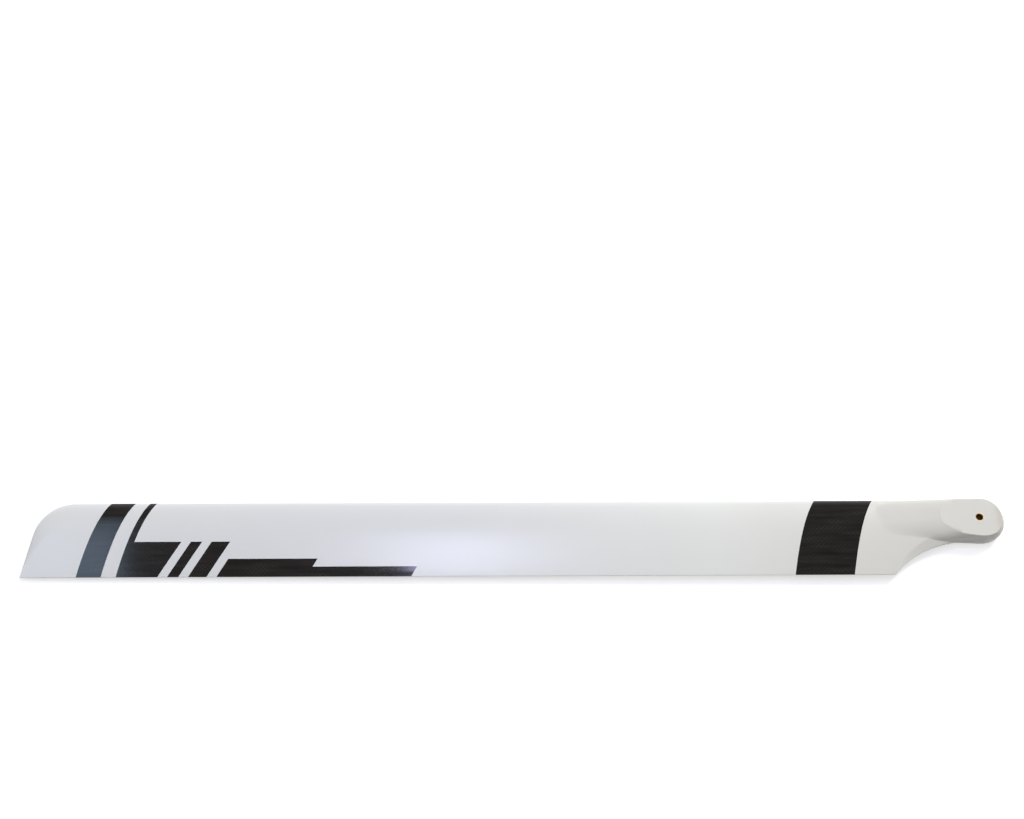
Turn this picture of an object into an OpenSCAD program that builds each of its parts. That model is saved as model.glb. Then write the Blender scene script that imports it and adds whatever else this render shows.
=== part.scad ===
// Main rotor blade of a model helicopter: a moulded composite blade with a flat-faced root
// and a brass bush for the blade bolt.
// Millimetres. The bolt hole is the origin, +X runs to the tip, +Y to the trailing edge, +Z up.

/* [Blade] */
// Distance from the bolt hole to the tip
blade_length = 690; // [500:5:750]
// Width from the leading edge to the trailing edge
chord = 58.8; // [52:0.2:66]
// Distance from the leading edge back to the bolt hole
hole_inset = 16.9; // [16.5:0.1:19]
// Greatest thickness of the airfoil section
section_thickness = 7.1; // [5.5:0.1:8]
// Thickness of the blunt trailing edge
edge_thickness = 0.6; // [0.4:0.1:1.2]

/* [Tip] */
// Radius of the corner between the leading edge and the tip
tip_radius = 28; // [12:1:34]
// Angle by which the tip edge leans out toward the trailing edge
tip_rake = 8; // [4:1:14]

/* [Root] */
// Thickness between the two flat clamping faces
root_thickness = 14; // [12:0.5:16]
// Width of the root at the bolt hole
root_width = 33; // [30:0.2:33]
// Distance from the bolt hole to the round end of the root
root_end = 19.2; // [17:0.2:22]
// Distance from the bolt hole to the outer end of the flat faces
pad_reach = 28; // [22:1:36]
// Roundness of the root's sides: 2 is an ellipse, more is squarer
rear_fullness = 2.2; // [1.8:0.1:3]
// Roundness that the leading side comes to at the outer end of the flat faces
front_fullness = 4; // [2.4:0.1:5]
// Roundness of the root's inner end
end_fullness = 1.7; // [1.4:0.1:2.4]

/* [Crown] */
// Distance from the bolt hole to the outer end of the raised crown
crown_reach = 76; // [68:1:90]
// Length of the crown's rounded outer end
crown_round = 14; // [8:1:18]
// Thickness across the crown where its rounded end begins
crown_thickness = 8.4; // [8:0.1:10]
// Width of the crown ahead of the bolt hole where its rounded end begins
crown_front = 16; // [12:0.1:16.4]
// Width of the crown behind the bolt hole where its rounded end begins
crown_rear = 13.5; // [11:0.1:15]
// Distance from the bolt hole to where the crown's leading side starts to narrow
taper_front = 11; // [5:1:18]
// Distance from the bolt hole to where the crown's trailing side starts to narrow
taper_rear = 26; // [18:1:34]
// Length over which the crown's sides turn into their taper
taper_ease = 10; // [4:1:16]
// Slope at which the crown swells toward the bolt hole before its faces are cut flat
crown_swell = 11; // [6:1:16]
// Size of the blend where the crown runs into the blade
crown_blend = 1.2; // [0.4:0.1:2]
// Size of that blend on the leading side
front_blend = 3; // [1:0.5:5]

/* [Cut-out] */
// Radius of the hollow cut-out between the root and the trailing edge
cutout_radius = 72; // [60:1:90]
// Distance from the bolt hole to where the cut-out begins
cutout_start = 9.5; // [5:0.5:14]
// Thickness of the edge along the cut-out
cutout_edge = 1.4; // [0.8:0.1:2]
// Slope of the bevel along the cut-out
bevel_angle = 20; // [14:1:30]

/* [Bush] */
// Bore of the bush
bush_bore = 5; // [3:0.5:5]
// Outside diameter of the bush
bush_diameter = 6; // [5.6:0.1:8]
// Chamfer at each end of the bore
bush_chamfer = 0.2; // [0.1:0.05:0.25]

/* [Hidden] */
$fn = 96;
// Half thickness of the land along the mould's parting line
parting_land = 0.15;
// Share of the chord at which the section is thickest
thickest_at = 0.3;
// Least share of the width behind the crown that lies on either side of the bevel's upper edge
least_tail = 0.25;
// Least distance between points across the section
least_step = 0.5;
// Points across the section: nose, each side of the crown, behind the crown and over the bevel
nose_points = 6;
crown_points = 11;
tail_points = 4;
bevel_points = 4;
// How far the crown's points crowd toward its rear foot: 1 spaces them by equal turns
low_points = 1.5;
// Tries at finding the bevel's upper edge
bevel_tries = 4;
// Stations along the blade: round end, root, crown's end, plain blade, tip corner and tip edge
end_steps = 12;
root_steps = 32;
crown_steps = 7;
plain_steps = 8;
corner_steps = 10;
rake_steps = 8;

leading = -hole_inset;
trailing = chord - hole_inset;
half_root = root_width / 2;
pad_height = root_thickness / 2;
end_centre = half_root - root_end;
crown_start = crown_reach - crown_round;
crown_slope = (pad_height - crown_thickness / 2) / (crown_start - pad_reach);
cutout_depth = trailing - half_root;
cutout_corner = cutout_start + sqrt(pow(cutout_radius, 2) - pow(cutout_radius - cutout_depth, 2));
root_inner = min(cutout_corner, crown_reach);
root_outer = max(cutout_corner, crown_reach);
tip_centre_y = leading + tip_radius;
tip_centre_x = blade_length - tan(tip_rake) * (trailing - tip_centre_y) - tip_radius / cos(tip_rake);
corner_end = tip_centre_x + tip_radius * cos(tip_rake);
last_station = blade_length - tan(tip_rake) * edge_thickness;

function blend(a, b, t) = a + (b - a) * t;
function unit(t) = min(max(t, 0), 1);
function ease(t) = pow(unit(t), 2) * (3 - 2 * unit(t));

// The larger of two heights, with their crossing rounded over a width k
function soft_max(a, b, k) =
    let (t = k > 0 ? unit(0.5 + (a - b) / (2 * k)) : a > b ? 1 : 0)
    blend(b, a, t) + k * t * (1 - t);

// Half thickness of a symmetric four-digit section, at a distance d behind its nose
function section_half(d, width) =
    let (x = unit(d / width))
    let (rise = 0.2969 * sqrt(x) - 0.126 * x)
    let (fall = 0.3516 * pow(x, 2) - 0.2843 * pow(x, 3) + 0.1036 * pow(x, 4))
    5 * section_thickness * (rise - fall) + edge_thickness / 2 * x;

// Share of the root's half width that is left at a station in its round end
function end_share(x) = sqrt(max(1 - pow(max(end_centre - x, 0) / half_root, 2), 0));

// How far a station has passed from the root's own edges to the blade's
function past_root(x) = ease((x - cutout_start) / (pad_reach - cutout_start));

// Leading side of the outline
function front_edge(x) =
    x > corner_end ? trailing - (blade_length - x) / tan(tip_rake)
    : x > tip_centre_x ? tip_centre_y - sqrt(pow(tip_radius, 2) - pow(x - tip_centre_x, 2))
    : -end_share(x) * blend(half_root, hole_inset, past_root(x));

// Trailing side of the outline
function rear_edge(x) =
    let (run = max(x - cutout_start, 0))
    x > cutout_corner ? trailing
    : end_share(x) * half_root + cutout_radius - sqrt(pow(cutout_radius, 2) - pow(run, 2));

// Distance from the edge of the tip in to a point
function tip_inset(x, y) =
    let (dx = x - tip_centre_x, dy = y - tip_centre_y)
    dx > 0 && dy < -dx * tan(tip_rake) ? tip_radius - norm([dx, dy])
    : dx <= 0 && dy < 0 ? y - leading
    : (blade_length - x - tan(tip_rake) * (trailing - y)) * cos(tip_rake);

// Distance from the hollow edge of the cut-out in to a point
function cutout_inset(x, y) =
    norm([max(x - cutout_start, 0), half_root + cutout_radius - y]) - cutout_radius;

// Half thickness of the airfoil, which swells out of the root's round end
function airfoil_half(x, y) =
    let (nose = front_edge(min(x, tip_centre_x)))
    let (swell = ease((x - end_centre) / (taper_front - end_centre)))
    swell * section_half(y - nose, trailing - nose);

// Half thickness of the edge along the cut-out
function cutout_half(x) = cutout_edge / 2 * past_root(x);

// Half thickness of the blade by itself: its section, thinned toward the tip and the cut-out
function blade_half(x, y) =
    let (tip = section_half(min(tip_inset(x, y), thickest_at * chord), chord))
    let (bevel = cutout_half(x) + max(cutout_inset(x, y), 0) * tan(bevel_angle))
    min(airfoil_half(x, y), tip, bevel);

// Where the bevel comes up to the airfoil, closer with each try from a first guess
function bevel_top(x, y, tries) =
    let (inset = (airfoil_half(x, y) - cutout_half(x)) / tan(bevel_angle))
    let (rise = pow(cutout_radius + inset, 2) - pow(max(x - cutout_start, 0), 2))
    tries == 0 ? y : bevel_top(x, half_root + cutout_radius - sqrt(max(rise, 0)), tries - 1);

// Width of one side of the crown, which bends from a start into a straight taper to its end
function eased(run) = run < taper_ease ? pow(max(run, 0), 2) / (2 * taper_ease) : run - taper_ease / 2;
function crown_side(x, start, width) =
    blend(half_root, width, eased(x - start) / eased(crown_start - start));

// Roundness of the crown's leading side, which grows squarer outward from the bolt hole
function leading_fullness(x) = blend(rear_fullness, front_fullness, ease(x / pad_reach));

// Half thickness of the crown before its faces are cut flat: a rounded bar that swells inward
function crown_half(x, y) =
    let (side = y < 0 ? crown_side(x, taper_front, crown_front) : crown_side(x, taper_rear, crown_rear))
    let (across = y / side)
    let (along = max(end_centre - x, 0) / half_root + max(x - crown_start, 0) / crown_round)
    let (reach = norm([along, across]))
    let (sideways = reach > 0 ? pow(across / reach, 2) : 0)
    let (ends = x < end_centre ? end_fullness : rear_fullness)
    let (sides = y < 0 ? leading_fullness(x) : rear_fullness)
    let (fullness = blend(ends, sides, sideways))
    let (inward = pad_reach - max(x, 0))
    let (crest = pad_height + inward * crown_slope + eased(inward) * tan(crown_swell))
    reach >= 1 ? 0 : crest * pow(1 - pow(reach, fullness), 1 / fullness);

// Half thickness of the whole: the crown stands on the blade, with a blend that ends at the edges
function half_thickness(x, y) =
    let (from_front = unit((y - front_edge(x)) / (2 * front_blend)))
    let (from_rear = unit((rear_edge(x) - y) / (3 * crown_blend)))
    let (size = blend(crown_blend, front_blend, unit(-y / crown_front)))
    soft_max(blade_half(x, y), crown_half(x, y), size * from_front * from_rear);

// Shares of a way across the section, fewer of them different where the way is short
function spread(way, count) =
    let (kept = min(max(floor(way / least_step), 1), count))
    [for (i = [0 : count - 1]) floor(i * kept / count) / kept];

// Turn from the crown's rear foot up to its crest, with more of the points low on the wall
function crown_turn(t) = 90 * pow(t, low_points);

function snap(y, edge) = abs(y - edge) < least_step / 4 ? edge : y;

// Points across a root station, set so that lines of them follow the crown's foot and the bevel
function root_columns(x) =
    let (front = front_edge(x), rear = rear_edge(x))
    let (front_foot = snap(-end_share(x) * crown_side(x, taper_front, crown_front), front))
    let (rear_foot = snap(end_share(x) * crown_side(x, taper_rear, crown_rear), rear))
    let (least = blend(rear_foot, rear, least_tail), most = blend(rear, rear_foot, least_tail))
    let (bevel = min(max(bevel_top(x, rear, bevel_tries), least), most))
    let (top = rear - rear_foot < 2 * least_step ? rear_foot : bevel)
    [
        for (t = spread(front_foot - front, nose_points)) blend(front, front_foot, 1 - cos(90 * t)),
        for (t = spread(-front_foot, crown_points)) front_foot * pow(cos(90 * t), 2 / leading_fullness(x)),
        for (t = spread(rear_foot, crown_points)) rear_foot * pow(cos(crown_turn(1 - t)), 2 / rear_fullness),
        for (t = spread(top - rear_foot, tail_points)) blend(rear_foot, top, t),
        for (t = spread(rear - top, bevel_points)) blend(top, rear, t),
        rear
    ];

plain_shares = [for (y = root_columns(root_outer)) (y - leading) / chord];

// Points across a station beyond the root, fewer of them different where the tip is narrow
function plain_columns(x) =
    let (front = front_edge(x), rear = rear_edge(x), last = len(plain_shares) - 1)
    let (kept = min(max(floor((rear - front) / least_step), 1), last))
    [
        for (i = [0 : last])
            blend(front, rear, plain_shares[floor(floor(i * kept / last) * last / kept)])
    ];

function columns(x) = x <= root_outer ? root_columns(x) : plain_columns(x);

// One closed section: over the top from the nose to the trailing edge, and back underneath
function ring(x) =
    let (ys = columns(x), last = len(ys) - 1)
    let (zs = [for (y = ys) y == ys[0] ? 0 : max(half_thickness(x, y), parting_land)])
    [
        [x, ys[0], 0],
        for (i = [1 : last]) [x, ys[i], zs[i]],
        for (i = [last : -1 : 1]) [x, ys[i], -zs[i]]
    ];

stations = [
    for (i = [0 : end_steps - 1]) end_centre - half_root * cos(3 + 87 * i / end_steps),
    for (i = [0 : root_steps]) blend(end_centre, root_inner, i / root_steps),
    for (i = [1 : crown_steps]) blend(root_inner, root_outer, i / crown_steps),
    for (i = [1 : plain_steps]) blend(root_outer, tip_centre_x, i / plain_steps),
    for (i = [1 : corner_steps]) tip_centre_x + tip_radius * sin((90 - tip_rake) * i / corner_steps),
    for (i = [1 : rake_steps]) blend(corner_end, last_station, i / rake_steps)
];

// Skin through a list of rings that have the same number of points, closed at both ends
module loft(rings) {
    count = len(rings[0]);
    top = len(rings) - 1;
    polyhedron(
        points = [for (section = rings) for (point = section) point],
        faces = [
            [for (j = [count - 1 : -1 : 0]) j],
            for (i = [0 : top - 1]) for (j = [0 : count - 1])
                let (a = i * count + j, b = i * count + (j + 1) % count)
                for (face = [[a, b, b + count], [a, b + count, a + count]]) face,
            [for (j = [0 : count - 1]) top * count + j]
        ],
        convexity = 6
    );
}

module blade() {
    color("whitesmoke")
    difference() {
        loft([for (x = stations) ring(x)]);
        for (side = [-1, 1])
            translate([(crown_reach - root_end) / 2, 0, side * (pad_height + root_width)])
                cube([crown_reach + root_end, 2 * root_width, 2 * root_width], center = true);
        cylinder(d = bush_diameter, h = 2 * root_thickness, center = true);
    }
}

module root_bush() {
    bore = bush_bore / 2;
    wall = bush_diameter / 2;
    color("goldenrod")
    rotate_extrude()
        polygon([
            [bore + bush_chamfer, -pad_height],
            [wall, -pad_height],
            [wall, pad_height],
            [bore + bush_chamfer, pad_height],
            [bore, pad_height - bush_chamfer],
            [bore, bush_chamfer - pad_height]
        ]);
}

blade();
root_bush();
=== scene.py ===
import math

import bpy
from mathutils import Matrix, Vector


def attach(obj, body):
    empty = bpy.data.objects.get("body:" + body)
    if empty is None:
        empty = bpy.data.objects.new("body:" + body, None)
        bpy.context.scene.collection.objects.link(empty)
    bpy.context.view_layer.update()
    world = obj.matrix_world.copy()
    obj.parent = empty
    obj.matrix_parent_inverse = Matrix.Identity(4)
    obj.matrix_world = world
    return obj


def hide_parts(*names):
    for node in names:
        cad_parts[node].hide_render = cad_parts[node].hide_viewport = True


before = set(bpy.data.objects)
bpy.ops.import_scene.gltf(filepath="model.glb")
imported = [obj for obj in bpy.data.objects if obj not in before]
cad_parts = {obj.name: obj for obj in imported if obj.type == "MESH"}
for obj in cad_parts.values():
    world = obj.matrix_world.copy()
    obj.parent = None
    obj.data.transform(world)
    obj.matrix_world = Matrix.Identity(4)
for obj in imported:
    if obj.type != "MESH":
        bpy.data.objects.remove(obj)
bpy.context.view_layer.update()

bpy.ops.object.select_all(action="DESELECT")


# The blade: carbon cloth and epoxy laid up in a two-part mould round a light core, one piece from
# the flat-faced root to the raked tip. White gelcoat is sprayed into the mould first, bands of
# bare carbon are masked off in it, and the whole leaves the mould with a glossy face.
MM = 0.001
blade_length = 690
chord = 58.8
leading = -16.9
trailing = leading + chord
section_thickness = 7.1
edge_thickness = 0.6
tip_radius = 28
tip_rake = math.radians(8)
half_root = 16.5
root_end = 19.2
pad_height = 7
pad_reach = 28
rear_fullness = 2.2
front_fullness = 4
end_fullness = 1.7
crown_reach = 76
crown_round = 14
crown_height = 4.2
crown_front = 16
crown_rear = 13.5
taper_front = 11
taper_rear = 26
taper_ease = 10
crown_swell = math.tan(math.radians(11))
crown_blend = 1.2
front_blend = 3
cutout_radius = 72
cutout_start = 9.5
cutout_edge = 1.4
bevel_slope = math.tan(math.radians(20))
bolt_hole = 6
tip_thinning = 0.3 * chord
first_angle = math.radians(3)
least_foot = 0.12
merge_distance = 0.002 * MM
crease_angle = math.radians(32)

end_centre = half_root - root_end
crown_start = crown_reach - crown_round
crown_slope = (pad_height - crown_height) / (crown_start - pad_reach)
cutout_corner = cutout_start + math.sqrt(cutout_radius**2 - (cutout_radius - trailing + half_root) ** 2)
tip_x = blade_length - math.tan(tip_rake) * (chord - tip_radius) - tip_radius / math.cos(tip_rake)
tip_y = leading + tip_radius
corner_end = tip_x + tip_radius * math.cos(tip_rake)
first_station = end_centre - half_root * math.cos(first_angle)
last_station = blade_length - math.tan(tip_rake) * edge_thickness


def blend(a, b, t):
    return a + (b - a) * t


def unit(t):
    return min(max(t, 0), 1)


def ease(t):
    return unit(t) ** 2 * (3 - 2 * unit(t))


def soft_max(a, b, k):
    t = unit(0.5 + (a - b) / (2 * k)) if k > 0 else float(a > b)
    return blend(b, a, t) + k * t * (1 - t)


def section_half(d, width):
    """Half thickness of the airfoil at a distance behind its nose."""
    x = unit(d / width)
    rise = 0.2969 * math.sqrt(x) - 0.126 * x - 0.3516 * x**2 + 0.2843 * x**3 - 0.1036 * x**4
    return 5 * section_thickness * rise + edge_thickness / 2 * x


def end_share(x):
    return math.sqrt(max(1 - (max(end_centre - x, 0) / half_root) ** 2, 0))


def past_root(x):
    return ease((x - cutout_start) / (pad_reach - cutout_start))


def front_edge(x):
    if x > corner_end:
        return trailing - (blade_length - x) / math.tan(tip_rake)
    if x > tip_x:
        return tip_y - math.sqrt(tip_radius**2 - (x - tip_x) ** 2)
    return -end_share(x) * blend(half_root, -leading, past_root(x))


def rear_edge(x):
    if x > cutout_corner:
        return trailing
    hollow = cutout_radius - math.sqrt(cutout_radius**2 - max(x - cutout_start, 0) ** 2)
    return end_share(x) * half_root + hollow


def tip_inset(x, y):
    """Distance from the edge of the tip in to a point."""
    dx, dy = x - tip_x, y - tip_y
    if dx > 0 and dy < -dx * math.tan(tip_rake):
        return tip_radius - math.hypot(dx, dy)
    if dx <= 0 and dy < 0:
        return y - leading
    return (blade_length - x - math.tan(tip_rake) * (trailing - y)) * math.cos(tip_rake)


def airfoil_half(x, y):
    nose = front_edge(min(x, tip_x))
    swell = ease((x - end_centre) / (taper_front - end_centre))
    return swell * section_half(y - nose, trailing - nose)


def cutout_half(x):
    return cutout_edge / 2 * past_root(x)


def blade_half(x, y):
    tip = section_half(min(max(tip_inset(x, y), 0), tip_thinning), chord)
    inset = math.hypot(max(x - cutout_start, 0), half_root + cutout_radius - y) - cutout_radius
    return min(airfoil_half(x, y), tip, cutout_half(x) + max(inset, 0) * bevel_slope)


def bevel_top(x, y):
    """Where the bevel along the cut-out comes up to the airfoil."""
    for _ in range(4):
        inset = (airfoil_half(x, y) - cutout_half(x)) / bevel_slope
        rise = (cutout_radius + inset) ** 2 - max(x - cutout_start, 0) ** 2
        y = half_root + cutout_radius - math.sqrt(max(rise, 0))
    return y


def eased(run):
    return max(run, 0) ** 2 / (2 * taper_ease) if run < taper_ease else run - taper_ease / 2


def crown_side(x, start, width):
    return blend(half_root, width, eased(x - start) / eased(crown_start - start))


def crest(x):
    inward = pad_reach - max(x, 0)
    return pad_height + inward * crown_slope + eased(inward) * crown_swell


def leading_fullness(x):
    return blend(rear_fullness, front_fullness, ease(x / pad_reach))


def crown_half(x, y):
    """Half thickness of the rounded bar that carries the bolt faces and sinks into the blade."""
    side = crown_side(x, taper_front, crown_front) if y < 0 else crown_side(x, taper_rear, crown_rear)
    along = max(end_centre - x, 0) / half_root + max(x - crown_start, 0) / crown_round
    reach = math.hypot(along, y / side)
    if reach >= 1:
        return 0
    sideways = (y / side / reach) ** 2 if reach > 0 else 0
    ends = end_fullness if x < end_centre else rear_fullness
    fullness = blend(ends, leading_fullness(x) if y < 0 else rear_fullness, sideways)
    return crest(x) * (1 - reach**fullness) ** (1 / fullness)


def pad_side(x, side, fullness):
    """Half width of the flat face, which cuts the bar off at one height."""
    along = max(end_centre - x, 0) / half_root
    low = min(pad_height / crest(x), 1)
    across, shape = 1, fullness
    for _ in range(8):
        reach = (1 - low**shape) ** (1 / shape)
        across = math.sqrt(max(reach**2 - along**2, 0))
        shape = blend(end_fullness, fullness, (across / reach) ** 2) if reach > 0 else fullness
    return across * side


def skin_height(x, y):
    from_front = unit((y - front_edge(x)) / (2 * front_blend))
    from_rear = unit((rear_edge(x) - y) / (3 * crown_blend))
    size = blend(crown_blend, front_blend, unit(-y / crown_front))
    return min(soft_max(blade_half(x, y), crown_half(x, y), size * from_front * from_rear), pad_height)


def way(start, end, count, share=lambda t: t):
    return [blend(start, end, share(i / count)) for i in range(count)]


def root_columns(x):
    """Points across the root, in lines along the bar's foot, the flat face's edge and the bevel's top."""
    front, rear = front_edge(x), rear_edge(x)
    front_side = crown_side(x, taper_front, crown_front)
    rear_side = crown_side(x, taper_rear, crown_rear)
    front_pad = -pad_side(x, front_side, leading_fullness(x))
    rear_pad = pad_side(x, rear_side, rear_fullness)
    front_foot, rear_foot = -end_share(x) * front_side, end_share(x) * rear_side
    front_foot = front if front_foot - front < least_foot else front_foot
    rear_foot = rear if rear - rear_foot < least_foot else rear_foot
    top = min(max(bevel_top(x, rear), blend(rear_foot, rear, 0.25)), blend(rear_foot, rear, 0.75))
    return (
        way(front, front_foot, 14, lambda t: 1 - math.cos(math.pi / 2 * t))
        + way(front_foot, front_pad, 20, lambda t: 1 - math.cos(math.pi / 2 * t))
        + way(front_pad, 0, 5)
        + way(0, rear_pad, 5)
        + way(rear_pad, rear_foot, 20, lambda t: math.sin(math.pi / 2 * t))
        + way(rear_foot, top, 8)
        + way(top, rear, 6)
        + [rear]
    )


stations = (
    way(first_station, end_centre, 24, lambda t: 1 - math.cos(math.pi / 2 * t))
    + way(end_centre, pad_reach, 50)
    + way(pad_reach, cutout_corner, 48)
    + way(cutout_corner, crown_reach, 18)
    + way(crown_reach, tip_x, 36)
    + way(tip_x, corner_end, 28, lambda t: math.sin((math.pi / 2 - tip_rake) * t) / math.cos(tip_rake))
    + way(corner_end, last_station, 18)
    + [last_station]
)
plain_shares = [(y - leading) / chord for y in root_columns(crown_reach)]
skin = []
for x in stations:
    front, rear = front_edge(x), rear_edge(x)
    columns = root_columns(x) if x <= crown_reach else [blend(front, rear, share) for share in plain_shares]
    skin.append([Vector((x, y, max(skin_height(x, y), 0) if y > front else 0)) * MM for y in columns])

station_steps, column_steps = len(stations) - 1, len(plain_shares) - 1
bpy.ops.mesh.primitive_grid_add(x_subdivisions=station_steps, y_subdivisions=column_steps, size=1)
blade = bpy.context.object
blade.name = "blade_skin"
for vertex in blade.data.vertices:
    station = round((vertex.co.x + 0.5) * station_steps)
    column = round((vertex.co.y + 0.5) * column_steps)
    vertex.co = skin[station][column]

bpy.ops.object.mode_set(mode="EDIT")
bpy.ops.mesh.select_mode(type="EDGE")
bpy.ops.mesh.select_all(action="DESELECT")
bpy.ops.mesh.select_non_manifold()
bpy.ops.mesh.extrude_region_move()
bpy.ops.transform.resize(value=(1, 1, 0), center_override=(0, 0, 0))
bpy.ops.mesh.select_all(action="SELECT")
bpy.ops.mesh.remove_doubles(threshold=merge_distance)
bpy.ops.object.mode_set(mode="OBJECT")
mirror = blade.modifiers.new("lower_half", "MIRROR")
mirror.use_axis = (False, False, True)
mirror.merge_threshold = merge_distance
bpy.ops.object.modifier_apply(modifier=mirror.name)

bpy.ops.mesh.primitive_cylinder_add(vertices=96, radius=bolt_hole / 2 * MM, depth=3 * pad_height * MM)
drill = bpy.context.object
bpy.ops.object.select_all(action="DESELECT")
bpy.context.view_layer.objects.active = blade
blade.select_set(True)
bpy.ops.object.mode_set(mode="EDIT")
bpy.ops.mesh.select_all(action="SELECT")
bpy.ops.mesh.normals_make_consistent(inside=False)
bpy.ops.object.mode_set(mode="OBJECT")
hole = blade.modifiers.new("bolt_hole", "BOOLEAN")
hole.operation = "DIFFERENCE"
hole.object = drill
bpy.ops.object.modifier_apply(modifier=hole.name)
bpy.data.objects.remove(drill)
bpy.ops.object.shade_smooth_by_angle(angle=crease_angle)


def linear(code):
    """An sRGB hex colour as the linear colour that a shader takes."""
    parts = [int(code[i : i + 2], 16) / 255 for i in (1, 3, 5)]
    return (*[c / 12.92 if c <= 0.04045 else ((c + 0.055) / 1.055) ** 2.4 for c in parts], 1)


def add(tree, kind, settings={}, inputs={}):
    """Adds a node with its settings, and links or sets its inputs."""
    node = tree.nodes.new(kind)
    for name, value in settings.items():
        setattr(node, name, value)
    for key, value in inputs.items():
        if isinstance(value, bpy.types.NodeSocket):
            tree.links.new(value, node.inputs[key])
        else:
            node.inputs[key].default_value = value
    return node


# Gelcoat and carbon laminate under one moulded gloss: cool white with a faint unevenness, and black
# cloth whose plain weave shows as soft squares below a clear face.
gelcoat = bpy.data.materials.new("gelcoat_and_carbon_laminate")
gelcoat.use_nodes = True
tree = gelcoat.node_tree
tree.nodes.clear()
place = add(tree, "ShaderNodeTexCoord").outputs["Object"]
split = add(tree, "ShaderNodeSeparateXYZ", {}, {0: place})
span = add(tree, "ShaderNodeMath", {"operation": "DIVIDE"}, {0: split.outputs["X"], 1: MM}).outputs[0]
depth = add(
    tree, "ShaderNodeMath", {"operation": "MULTIPLY_ADD"}, {0: split.outputs["Y"], 1: 1 / MM, 2: -leading}
).outputs[0]

# The masks were cut along one curve that bends toward the tip, and along one slanted line
bend_depth = 24.3
bend_swing = -15.4
slant = -0.566
bend = add(
    tree, "ShaderNodeMath", {"operation": "MULTIPLY_ADD"}, {0: depth, 1: 1 / bend_depth, 2: 1}
).outputs[0]
bend = add(tree, "ShaderNodeMath", {"operation": "MAXIMUM"}, {0: bend, 1: 1}).outputs[0]
bend = add(tree, "ShaderNodeMath", {"operation": "LOGARITHM"}, {0: bend, 1: math.e}).outputs[0]
curved = add(
    tree, "ShaderNodeMath", {"operation": "MULTIPLY_ADD"}, {0: bend, 1: bend_swing, 2: span}
).outputs[0]
slanted = add(
    tree, "ShaderNodeMath", {"operation": "MULTIPLY_ADD"}, {0: depth, 1: slant, 2: span}
).outputs[0]

# Bands as limits in millimetres: along the curve, along the slanted line, and back from the nose
block_top = 32.4
stripe_top = 45.5
stripe_step = 51.5
past_edge = 70
bare_bands = [
    {curved: (612.9, 630.8)},
    {curved: (597.3, 602.2), depth: (-1, block_top)},
    {curved: (540, 602.2), slanted: (558.0, 640), depth: (block_top, past_edge)},
    {slanted: (543.0, 551.1), depth: (block_top, past_edge)},
    {slanted: (522.8, 536.1), depth: (block_top, past_edge)},
    {slanted: (451.6, 515.8), depth: (stripe_top, stripe_step)},
    {slanted: (376.6, 515.8), depth: (stripe_step, past_edge)},
    {curved: (74.5, 116.8)},
]
bare = 0
for band in bare_bands:
    inside = 1
    for ruler, (low, high) in band.items():
        between = add(
            tree,
            "ShaderNodeMath",
            {"operation": "COMPARE"},
            {0: ruler, 1: (low + high) / 2, 2: (high - low) / 2},
        ).outputs[0]
        inside = add(tree, "ShaderNodeMath", {"operation": "MULTIPLY"}, {0: inside, 1: between}).outputs[0]
    bare = add(tree, "ShaderNodeMath", {"operation": "MAXIMUM"}, {0: bare, 1: inside}).outputs[0]

# Tows in a plain weave, with fibres too fine to show drawn as streaks along the span
tow = 1.6 * MM
streak_size = (30 * MM, 3 * MM, 4 * MM)
weave_place = add(
    tree, "ShaderNodeMapping", {}, {"Vector": place, "Scale": (1 / tow, 1 / tow, 0)}
).outputs[0]
weave = add(
    tree,
    "ShaderNodeTexChecker",
    {},
    {"Vector": weave_place, "Color1": linear("#1d1916"), "Color2": linear("#14110f"), "Scale": 1},
).outputs["Color"]
streak_place = add(
    tree, "ShaderNodeMapping", {}, {"Vector": place, "Scale": [1 / side for side in streak_size]}
).outputs[0]
streaks = add(
    tree, "ShaderNodeTexNoise", {}, {"Vector": streak_place, "Scale": 1, "Detail": 3, "Roughness": 0.6}
).outputs[0]
streaks = add(
    tree, "ShaderNodeMapRange", {}, {"Value": streaks, "From Min": 0.3, "From Max": 0.7}
).outputs[0]
carbon = add(
    tree,
    "ShaderNodeMix",
    {"data_type": "RGBA", "blend_type": "OVERLAY"},
    {0: 0.9, 6: weave, 7: streaks},
).outputs[2]

# The white's tone at places in millimetres from the hole, with painted light and shade along the span: lighter
# in the middle, darker at the flat face and towards the tip, and darker and warm at the root's end as painted
# shade on its end wall; and its unevenness
end_tone_and_shade = "#c4bea9"
tone_and_light_stops = {
    -10: "#dbd9d0",
    0: "#dbd9d0",
    48: "#e2e0d7",
    193: "#edeee8",
    386: "#e4e5e5",
    621: "#e1e1df",
}
cloud_size = 30 * MM
cloud = add(
    tree, "ShaderNodeTexNoise", {}, {"Vector": place, "Scale": 1 / cloud_size, "Detail": 4, "Roughness": 0.55}
).outputs[0]
along = add(
    tree, "ShaderNodeMapRange", {}, {"Value": span, "From Min": -root_end, "From Max": blade_length}
).outputs[0]
tone_and_light = add(tree, "ShaderNodeValToRGB", {}, {0: along})
ramp = tone_and_light.color_ramp
for x, code in tone_and_light_stops.items():
    ramp.elements.new((x + root_end) / (blade_length + root_end)).color = linear(code)
# The root's end is darker and warm: painted shade on its end wall
ramp.elements[0].color = linear(end_tone_and_shade)
ramp.elements.remove(ramp.elements[-1])
white = add(
    tree,
    "ShaderNodeMix",
    {"data_type": "RGBA", "blend_type": "SOFT_LIGHT"},
    {0: 0.06, 6: tone_and_light.outputs["Color"], 7: cloud},
).outputs[2]

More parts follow.
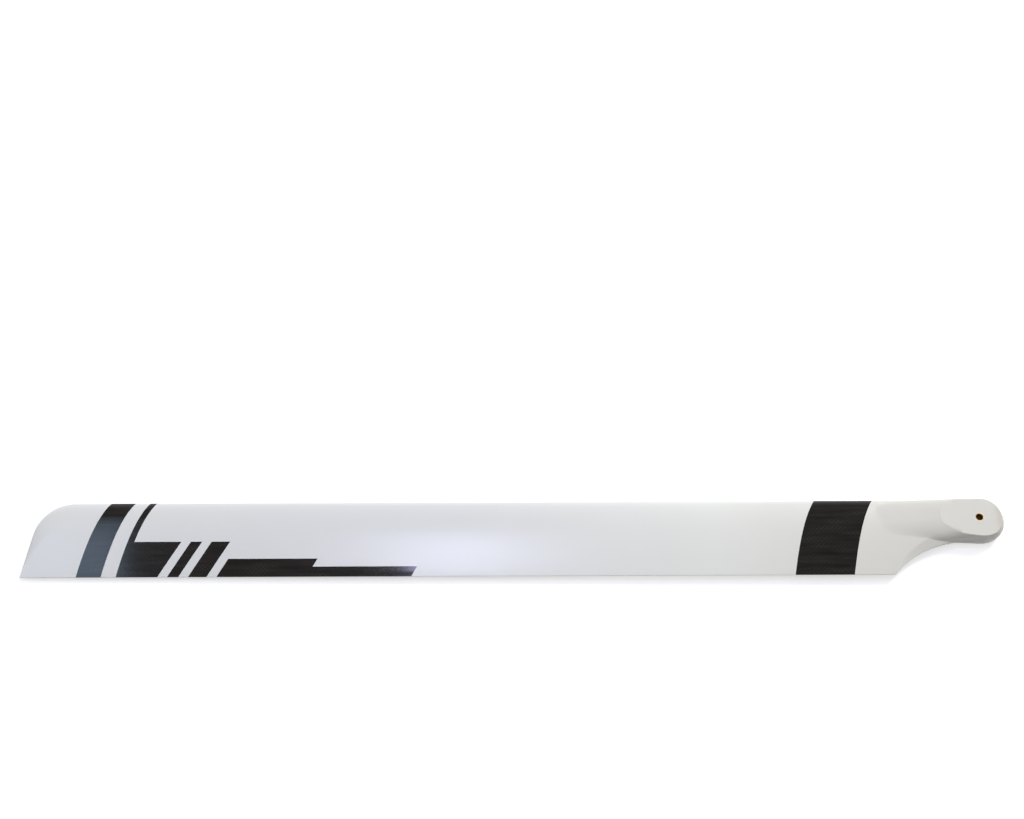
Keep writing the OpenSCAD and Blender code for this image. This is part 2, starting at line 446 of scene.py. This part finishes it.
# Print-through of the cloth below the bare face, and the fine ripple of a mould's polish
print_depth = 0.05 * MM
ripple_depth = 0.02 * MM
ripple_size = 6 * MM
print_through = add(
    tree, "ShaderNodeMath", {"operation": "MULTIPLY"}, {0: weave, 1: bare}
).outputs[0]
relief = add(
    tree, "ShaderNodeBump", {}, {"Height": print_through, "Strength": 0.25, "Distance": print_depth}
).outputs[0]
ripple = add(
    tree, "ShaderNodeTexNoise", {}, {"Vector": place, "Scale": 1 / ripple_size, "Detail": 2}
).outputs[0]
face = add(
    tree, "ShaderNodeBump", {}, {"Height": ripple, "Strength": 0.2, "Distance": ripple_depth, "Normal": relief}
).outputs[0]

white_roughness = 0.24
carbon_roughness = 0.09
paint = add(tree, "ShaderNodeMix", {"data_type": "RGBA"}, {0: bare, 6: white, 7: carbon}).outputs[2]
gloss = add(
    tree, "ShaderNodeMapRange", {}, {"Value": bare, "To Min": white_roughness, "To Max": carbon_roughness}
).outputs[0]
shader = add(
    tree,
    "ShaderNodeBsdfPrincipled",
    {},
    {"Base Color": paint, "Roughness": gloss, "Normal": face, "IOR": 1.5},
).outputs[0]
add(tree, "ShaderNodeOutputMaterial", {}, {0: shader})
blade.data.materials.clear()
blade.data.materials.append(gelcoat)
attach(blade, "root")
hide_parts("blade")


# The bush: a turned brass sleeve bonded into the root, so that the blade bolt bears on metal.
# Its bore is painted dark brown as the shade inside the hole, and its end faces are flush with the flat faces.
tarnish_size = 2.5 * MM
tool_pitch = 0.4 * MM
tool_depth = 0.01 * MM
bore_shade_below = 5.6 * MM
bore_shade_above = 6.9 * MM

# Turned brass: a thin golden ring about a hole painted dark brown as its shade, with faint tool marks
brass = bpy.data.materials.new("turned_brass")
brass.use_nodes = True
tree = brass.node_tree
tree.nodes.clear()
place = add(tree, "ShaderNodeTexCoord").outputs["Object"]
tarnish = add(
    tree, "ShaderNodeTexNoise", {}, {"Vector": place, "Scale": 1 / tarnish_size, "Detail": 4, "Roughness": 0.6}
).outputs[0]
metal = add(
    tree,
    "ShaderNodeMix",
    {"data_type": "RGBA"},
    {0: tarnish, 6: linear("#d8ab5c"), 7: linear("#9a6c34")},
).outputs[2]
height = add(tree, "ShaderNodeSeparateXYZ", {}, {0: place}).outputs["Z"]
height = add(tree, "ShaderNodeMath", {"operation": "ABSOLUTE"}, {0: height}).outputs[0]
out_of_bore_shade = add(
    tree, "ShaderNodeMapRange", {}, {"Value": height, "From Min": bore_shade_below, "From Max": bore_shade_above}
).outputs[0]
# Painted shade: the bore is dark brown below the end faces and turns to the brass's own colour at them
metal = add(
    tree, "ShaderNodeMix", {"data_type": "RGBA"}, {0: out_of_bore_shade, 6: linear("#4a3216"), 7: metal}
).outputs[2]
dullness = add(
    tree, "ShaderNodeMapRange", {}, {"Value": tarnish, "To Min": 0.25, "To Max": 0.5}
).outputs[0]
turning_place = add(
    tree, "ShaderNodeMapping", {}, {"Vector": place, "Scale": (0, 0, 1 / tool_pitch)}
).outputs[0]
turning = add(
    tree, "ShaderNodeTexNoise", {}, {"Vector": turning_place, "Scale": 1, "Detail": 2}
).outputs[0]
tool_marks = add(
    tree, "ShaderNodeBump", {}, {"Height": turning, "Strength": 0.3, "Distance": tool_depth}
).outputs[0]
shader = add(
    tree,
    "ShaderNodeBsdfPrincipled",
    {},
    {"Base Color": metal, "Roughness": dullness, "Normal": tool_marks, "Metallic": 1},
).outputs[0]
add(tree, "ShaderNodeOutputMaterial", {}, {0: shader})
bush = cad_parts["root_bush"]
bush.data.materials.clear()
bush.data.materials.append(brass)


# The table: a plain white sweep that the blade lies on. The thick root holds the thin blade up, so
# it touches at the inner end of the root's flat face and below the tip, and the table is turned.
pivot = Vector((pad_reach, 0, -pad_height)) * MM
rises = [
    (pad_height * MM - max(point.z for point in row)) / (row[0].x - pivot.x)
    for row in skin
    if row[0].x > crown_reach * MM
]
table = Matrix.Translation(pivot) @ Matrix.Rotation(-math.atan(min(rises)), 4, "Y")
table = table @ Matrix.Translation((-pivot.x, 0, 0))
bpy.ops.mesh.primitive_plane_add(size=40)
floor = bpy.context.object
floor.name = "table"
floor.matrix_world = table

# Matt white sweep: clean white with a soft shadow to the eye, and grey to other rays, so that it
# throws little light back up at the blade.
white_lift = 0.54
sweep = bpy.data.materials.new("matt_white_sweep")
sweep.use_nodes = True
tree = sweep.node_tree
tree.nodes.clear()
rays = add(tree, "ShaderNodeLightPath")
seen = 0
for kind in ("Is Camera Ray", "Is Glossy Ray", "Is Transmission Ray"):
    seen = add(
        tree, "ShaderNodeMath", {"operation": "MAXIMUM"}, {0: seen, 1: rays.outputs[kind]}
    ).outputs[0]
tone = add(
    tree, "ShaderNodeMix", {"data_type": "RGBA"}, {0: seen, 6: linear("#9c9c9e"), 7: linear("#f4f4f5")}
).outputs[2]
matt = add(tree, "ShaderNodeBsdfDiffuse", {}, {"Color": tone}).outputs[0]
lift = add(tree, "ShaderNodeMath", {"operation": "MULTIPLY"}, {0: seen, 1: white_lift}).outputs[0]
glow = add(tree, "ShaderNodeEmission", {}, {"Color": (1, 1, 1, 1), "Strength": lift}).outputs[0]
shader = add(tree, "ShaderNodeAddShader", {}, {0: matt, 1: glow}).outputs[0]
add(tree, "ShaderNodeOutputMaterial", {}, {0: shader})
floor.data.materials.append(sweep)


# The studio: a dim room whose far wall is pale, a key lamp beyond the leading edge on the root's
# side, a little fill from overhead, and two cool panels that show in the gloss of tip and middle.
room_level = 0.32
wall_level = 1.4
world = bpy.data.worlds.new("dim_room")
bpy.context.scene.world = world
world.use_nodes = True
tree = world.node_tree
tree.nodes.clear()
aim = add(tree, "ShaderNodeTexCoord").outputs["Generated"]
split = add(tree, "ShaderNodeSeparateXYZ", {}, {0: aim})
far = add(
    tree,
    "ShaderNodeMapRange",
    {"interpolation_type": "SMOOTHSTEP"},
    {"Value": split.outputs["Y"], "From Min": -0.2, "From Max": -0.9},
).outputs[0]
low = add(
    tree,
    "ShaderNodeMapRange",
    {"interpolation_type": "SMOOTHSTEP"},
    {"Value": split.outputs["Z"], "From Min": 0.75, "From Max": 0.15},
).outputs[0]
wall = add(tree, "ShaderNodeMath", {"operation": "MULTIPLY"}, {0: far, 1: low}).outputs[0]
level = add(
    tree, "ShaderNodeMapRange", {}, {"Value": wall, "To Min": room_level, "To Max": wall_level}
).outputs[0]
room = add(tree, "ShaderNodeBackground", {}, {"Color": linear("#f6f6f6"), "Strength": level}).outputs[0]
add(tree, "ShaderNodeOutputWorld", {}, {0: room})


def lamp(name, size, place, aim, strength, colour, spread=180):
    """Hangs a flat lamp, with its size and place in metres and its spread in degrees."""
    data = bpy.data.lights.new(name, "AREA")
    data.shape = "RECTANGLE"
    data.size, data.size_y = size
    # Radiance of a panel is its power over its area and pi
    data.energy = strength * math.pi * size[0] * size[1]
    data.color = linear(colour)[:3]
    data.spread = math.radians(spread)
    panel = bpy.data.objects.new(name, data)
    bpy.context.collection.objects.link(panel)
    turn = (Vector(aim) - Vector(place)).to_track_quat("-Z", "Y").to_matrix().to_4x4()
    panel.matrix_world = table @ Matrix.Translation(place) @ turn


lamp("key", (1.3, 1.2), (-2.0, -2.6, 3.0), (0.3, 0, 0), 25.5, "#fcfdff")
lamp("root_fill", (2.0, 1.6), (-0.3, 0.5, 3.2), (-0.3, 0.5, 0), 0.5, "#ffffff")
lamp("tip_fill", (2.0, 1.6), (1.2, 0.5, 3.2), (1.2, 0.5, 0), 0.7, "#ffffff")
lamp("tip_panel", (0.8, 1.1), (1.515, -0.55, 1.8), (1.515, -0.15, 0), 0.55, "#c2deff", 52)
lamp("top_panel", (0.16, 0.36), (0.465, -0.41, 1.8), (0.43, 0.1, 0), 23.0, "#d6d8ff")


# The camera: level along the blade, from the trailing edge's side and about 60 degrees up, so far
# back that the blade's length fills the picture.
camera_data = bpy.data.cameras.new("camera")
camera_data.sensor_width = 36
camera_data.lens = 54.13
camera = bpy.data.objects.new("camera", camera_data)
bpy.context.collection.objects.link(camera)
place = Vector((338.8, 492.9, 1014.4)) * MM
aim = Vector((337.8, -98.7, 0)) * MM
turn = (aim - place).to_track_quat("-Z", "Y").to_matrix().to_4x4()
camera.matrix_world = table @ Matrix.Translation(place) @ turn
bpy.context.scene.camera = camera
bpy.context.scene.view_settings.view_transform = "Standard"
